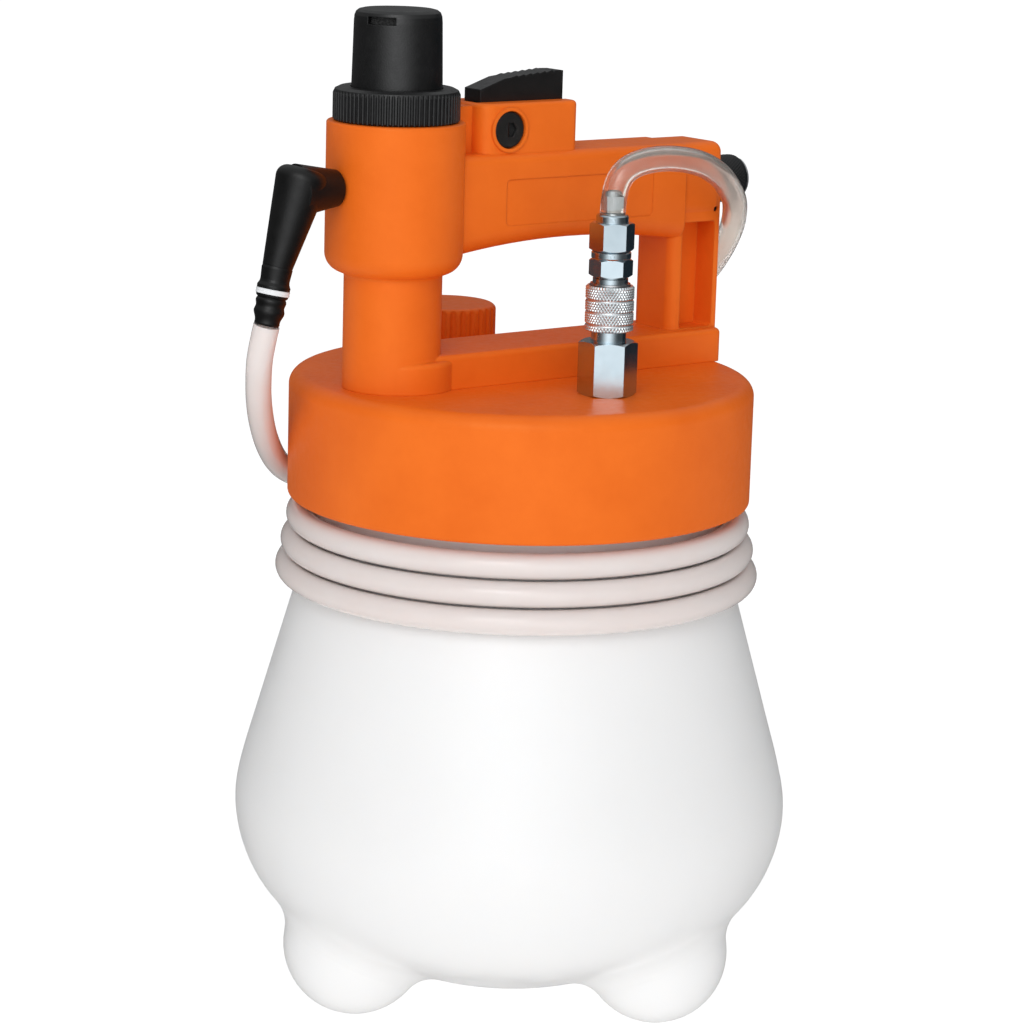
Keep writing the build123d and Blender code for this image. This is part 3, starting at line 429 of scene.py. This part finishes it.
SUPPLY_ROUTE = [
    (0.002, -0.0545, 0.3435), (0.002, -0.0545, 0.3535), (0.0075, -0.0555, 0.3625), (0.022, -0.0585, 0.366),
    (0.042, -0.0585, 0.3635), (0.060, -0.052, 0.3565), (0.0743, -0.0425, 0.348), (0.0883, -0.0305, 0.3398),
    (0.1056, -0.0082, 0.3235), (0.1122, 0.016, 0.301), (0.105, 0.038, 0.280), (0.095, 0.053, 0.258),
    (0.086, 0.064, 0.237), (0.078, 0.073, 0.221), on_ring(57, 0.105, 0.214), on_ring(72, 0.101, 0.211),
    on_ring(88, 0.0955, 0.2093), on_ring(103, 0.0926, 0.209)]
RETURN_ROUTE = [
    on_ring(-7.3, 0.0969, 0.187), on_ring(12.7, 0.103, 0.188), on_ring(32.7, 0.1066, 0.1905),
    on_ring(52.7, 0.1075, 0.1945), on_ring(72.7, 0.108, 0.1995), on_ring(87.7, 0.1075, 0.2035),
    on_ring(102.7, 0.106, 0.2075), on_ring(112.7, 0.1045, 0.211), on_ring(122.7, 0.1035, 0.216),
    on_ring(132.7, 0.105, 0.224), (-0.0964, 0.0483, 0.2426), (-0.116, 0.023, 0.263),
    (-0.1259, 0.008, 0.2797), (-0.129, 0.0018, 0.2895), (-0.1275, 0.0, 0.300)]


def coil_points():
    """Control points of the turns between the two ends of the route, a little outside the line they pull."""
    step = (COIL_END - COIL_START) / (COIL_POINTS + 1)
    grow = 1.0 / math.cos(math.radians(step / 2))
    points = []
    for i in range(1, COIL_POINTS + 1):
        angle = COIL_START + i * step
        level = 0.0
        for start in CROSSOVERS:
            t = min(max((angle - start) / CROSSOVER_SPAN, 0.0), 1.0)
            level += t * t * (3 - 2 * t)
        low = min(int(level), 1)
        (r0, z0), (r1, z1) = COIL_TURNS[low], COIL_TURNS[low + 1]
        mix = level - low
        points.append(on_ring(angle, (r0 + (r1 - r0) * mix) * grow, z0 + (z1 - z0) * mix))
    return points


def route_line(name, route, detail):
    """Points along the smooth line whose control points are the route."""
    curve = bpy.data.curves.new(name, "CURVE")
    curve.dimensions = "3D"
    spline = curve.splines.new("NURBS")
    spline.points.add(len(route) - 1)
    for point, place in zip(spline.points, route):
        point.co = (*place, 1.0)
    spline.order_u = 3
    spline.use_endpoint_u = True
    spline.resolution_u = detail
    holder = bpy.data.objects.new(name, curve)
    bpy.context.scene.collection.objects.link(holder)
    bpy.context.view_layer.update()
    mesh = bpy.data.meshes.new_from_object(holder.evaluated_get(bpy.context.evaluated_depsgraph_get()))
    line = [v.co.copy() for v in mesh.vertices]
    bpy.data.objects.remove(holder)
    bpy.data.curves.remove(curve)
    bpy.data.meshes.remove(mesh)
    return line


def hollow_tube(name, line, radius, bore, sides):
    """Tube wall along a line, with flat ends."""
    before, after = line[:1] + line[:-1], line[1:] + line[-1:]
    tangents = [(b - a).normalized() for a, b in zip(before, after)]
    across = tangents[0].orthogonal().normalized()
    points = []
    for place, tangent in zip(line, tangents):
        across = (across - tangent * across.dot(tangent)).normalized()
        other = tangent.cross(across)
        for r in (radius, bore):
            for j in range(sides):
                a = 2 * math.pi * j / sides
                points.append(place + across * (r * math.cos(a)) + other * (r * math.sin(a)))
    faces = []
    for i in range(len(line) - 1):
        for j in range(sides):
            k = (j + 1) % sides
            out0, out1 = i * 2 * sides, (i + 1) * 2 * sides
            faces.append((out0 + j, out0 + k, out1 + k, out1 + j))
            faces.append((out0 + sides + j, out1 + sides + j, out1 + sides + k, out0 + sides + k))
    last = (len(line) - 1) * 2 * sides
    for j in range(sides):
        k = (j + 1) % sides
        faces.append((j, sides + j, sides + k, k))
        faces.append((last + j, last + k, last + sides + k, last + sides + j))
    return mesh_from(name, points, faces, 50.0)


def add_hose():
    line = route_line("hose_line", SUPPLY_ROUTE + coil_points() + RETURN_ROUTE, LINE_DETAIL)
    mesh = hollow_tube("clear_hose", line, HOSE_R, HOSE_BORE_R, HOSE_SIDES)
    hose = add_piece("clear_hose", mesh, "clear_hose", "lid")
    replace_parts(hose, "hose_supply", "hose_coil", "hose_return")


# ---- springs --------------------------------------------------------------------------------
# node, joint, fixed end and travel
SPRINGS = (("valve_spring", "plunger_travel", (0.0, 0.0, 0.33505), 0.0027),
           ("coupler_spring", "sleeve_pull", (*COUPLER, 0.29965), 0.0025))


def shorten_springs():
    """Each spring node gets a mesh of its own."""
    for name, joint, fixed_end, travel in SPRINGS:
        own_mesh(NODES[name])


# ---- floor and light ------------------------------------------------------------------------
FLOOR_REACH = 15
CARD_X, CARD_Y, CARD_Z = 0.85, (-0.45, 0.35), (0.02, 0.75)
FRONT = (-0.600, -0.785, 0.155)      # from the object towards the open side of the studio
ABOVE = (0, 0, 1)
FRONT_NARROWNESS, FRONT_STRENGTH = 6.0, 2.1
ABOVE_NARROWNESS, ABOVE_STRENGTH = 1.5, 0.85
ROOM_STRENGTH = 0.08
ROOM_COLOUR = (0.97, 0.985, 1.0, 1.0)
KEY_PLACE, KEY_TARGET = Vector((-1.35, -1.3, 1.45)), Vector((0.0, 0.0, 0.22))
KEY_SIZE, KEY_POWER = 1.0, 9.0


def add_floor():
    """Nearly white floor that gives off most of its own brightness and isn't seen in reflections."""
    corners = [(x * FLOOR_REACH, y * FLOOR_REACH, 0) for x, y in ((-1, -1), (1, -1), (1, 1), (-1, 1))]
    mesh = mesh_from("floor", corners, [(0, 1, 2, 3)])
    floor = bpy.data.objects.new("floor", mesh)
    bpy.context.scene.collection.objects.link(floor)
    s = Shader("floor")
    s.set(Base_Color=s.ramp(s.noise(3.0), (0.35, 0.35, 0.35), (0.37, 0.37, 0.37)), Roughness=0.9)
    s.set(Emission_Color=(1.0, 1.0, 1.0, 1.0), Emission_Strength=0.80, Specular_IOR_Level=0.1)
    mesh.materials.append(s.material)
    floor.visible_glossy = False


def add_dark_card():
    """Black card beside the object that only reflections see."""
    (y0, y1), (z0, z1) = CARD_Y, CARD_Z
    corners = [(CARD_X, y0, z0), (CARD_X, y1, z0), (CARD_X, y1, z1), (CARD_X, y0, z1)]
    mesh = mesh_from("dark_card", corners, [(0, 1, 2, 3)])
    card = bpy.data.objects.new("dark_card", mesh)
    bpy.context.scene.collection.objects.link(card)
    s = Shader("dark_card")
    s.set(Base_Color=s.ramp(s.noise(5.0), (0.012, 0.02, 0.026), (0.02, 0.03, 0.038)), Roughness=1.0)
    s.set(Specular_IOR_Level=0.0)
    mesh.materials.append(s.material)
    card.visible_camera = False
    card.visible_diffuse = False
    card.visible_transmission = False
    card.visible_shadow = False


def sky_lobe(tree, direction, narrowness, strength):
    """Brightness that peaks towards a direction."""
    side = tree.nodes.new("ShaderNodeVectorMath")
    side.operation = "DOT_PRODUCT"
    side.inputs[1].default_value = direction
    tree.links.new(tree.nodes.new("ShaderNodeTexCoord").outputs["Generated"], side.inputs[0])
    facing = maths(tree, "MAXIMUM", side.outputs["Value"], 0.0)
    return maths(tree, "MULTIPLY", maths(tree, "POWER", facing, narrowness), strength)


def add_world():
    """Soft studio light from the front and above, dim at the sides and behind."""
    world = bpy.data.worlds.new("world")
    bpy.context.scene.world = world
    world.use_nodes = True
    tree = world.node_tree
    front = sky_lobe(tree, FRONT, FRONT_NARROWNESS, FRONT_STRENGTH)
    above = sky_lobe(tree, ABOVE, ABOVE_NARROWNESS, ABOVE_STRENGTH)
    background = tree.nodes["Background"]
    background.inputs["Color"].default_value = ROOM_COLOUR
    level = maths(tree, "ADD", maths(tree, "ADD", front, above), ROOM_STRENGTH)
    tree.links.new(level, background.inputs["Strength"])


def add_key_light():
    """Large square lamp high in front, to the left."""
    data = bpy.data.lights.new("key", "AREA")
    data.shape = "RECTANGLE"
    data.size = data.size_y = KEY_SIZE
    data.energy = KEY_POWER
    light = bpy.data.objects.new("key", data)
    light.location = KEY_PLACE
    light.rotation_euler = (KEY_TARGET - KEY_PLACE).to_track_quat("-Z", "Y").to_euler()
    bpy.context.scene.collection.objects.link(light)


add_camera()
add_hose()
add_coupler_sleeve()
add_flow_collar()
dress_nodes()
shorten_springs()
add_floor()
add_dark_card()
add_world()
add_key_light()
bpy.context.scene.view_settings.view_transform = "Standard"
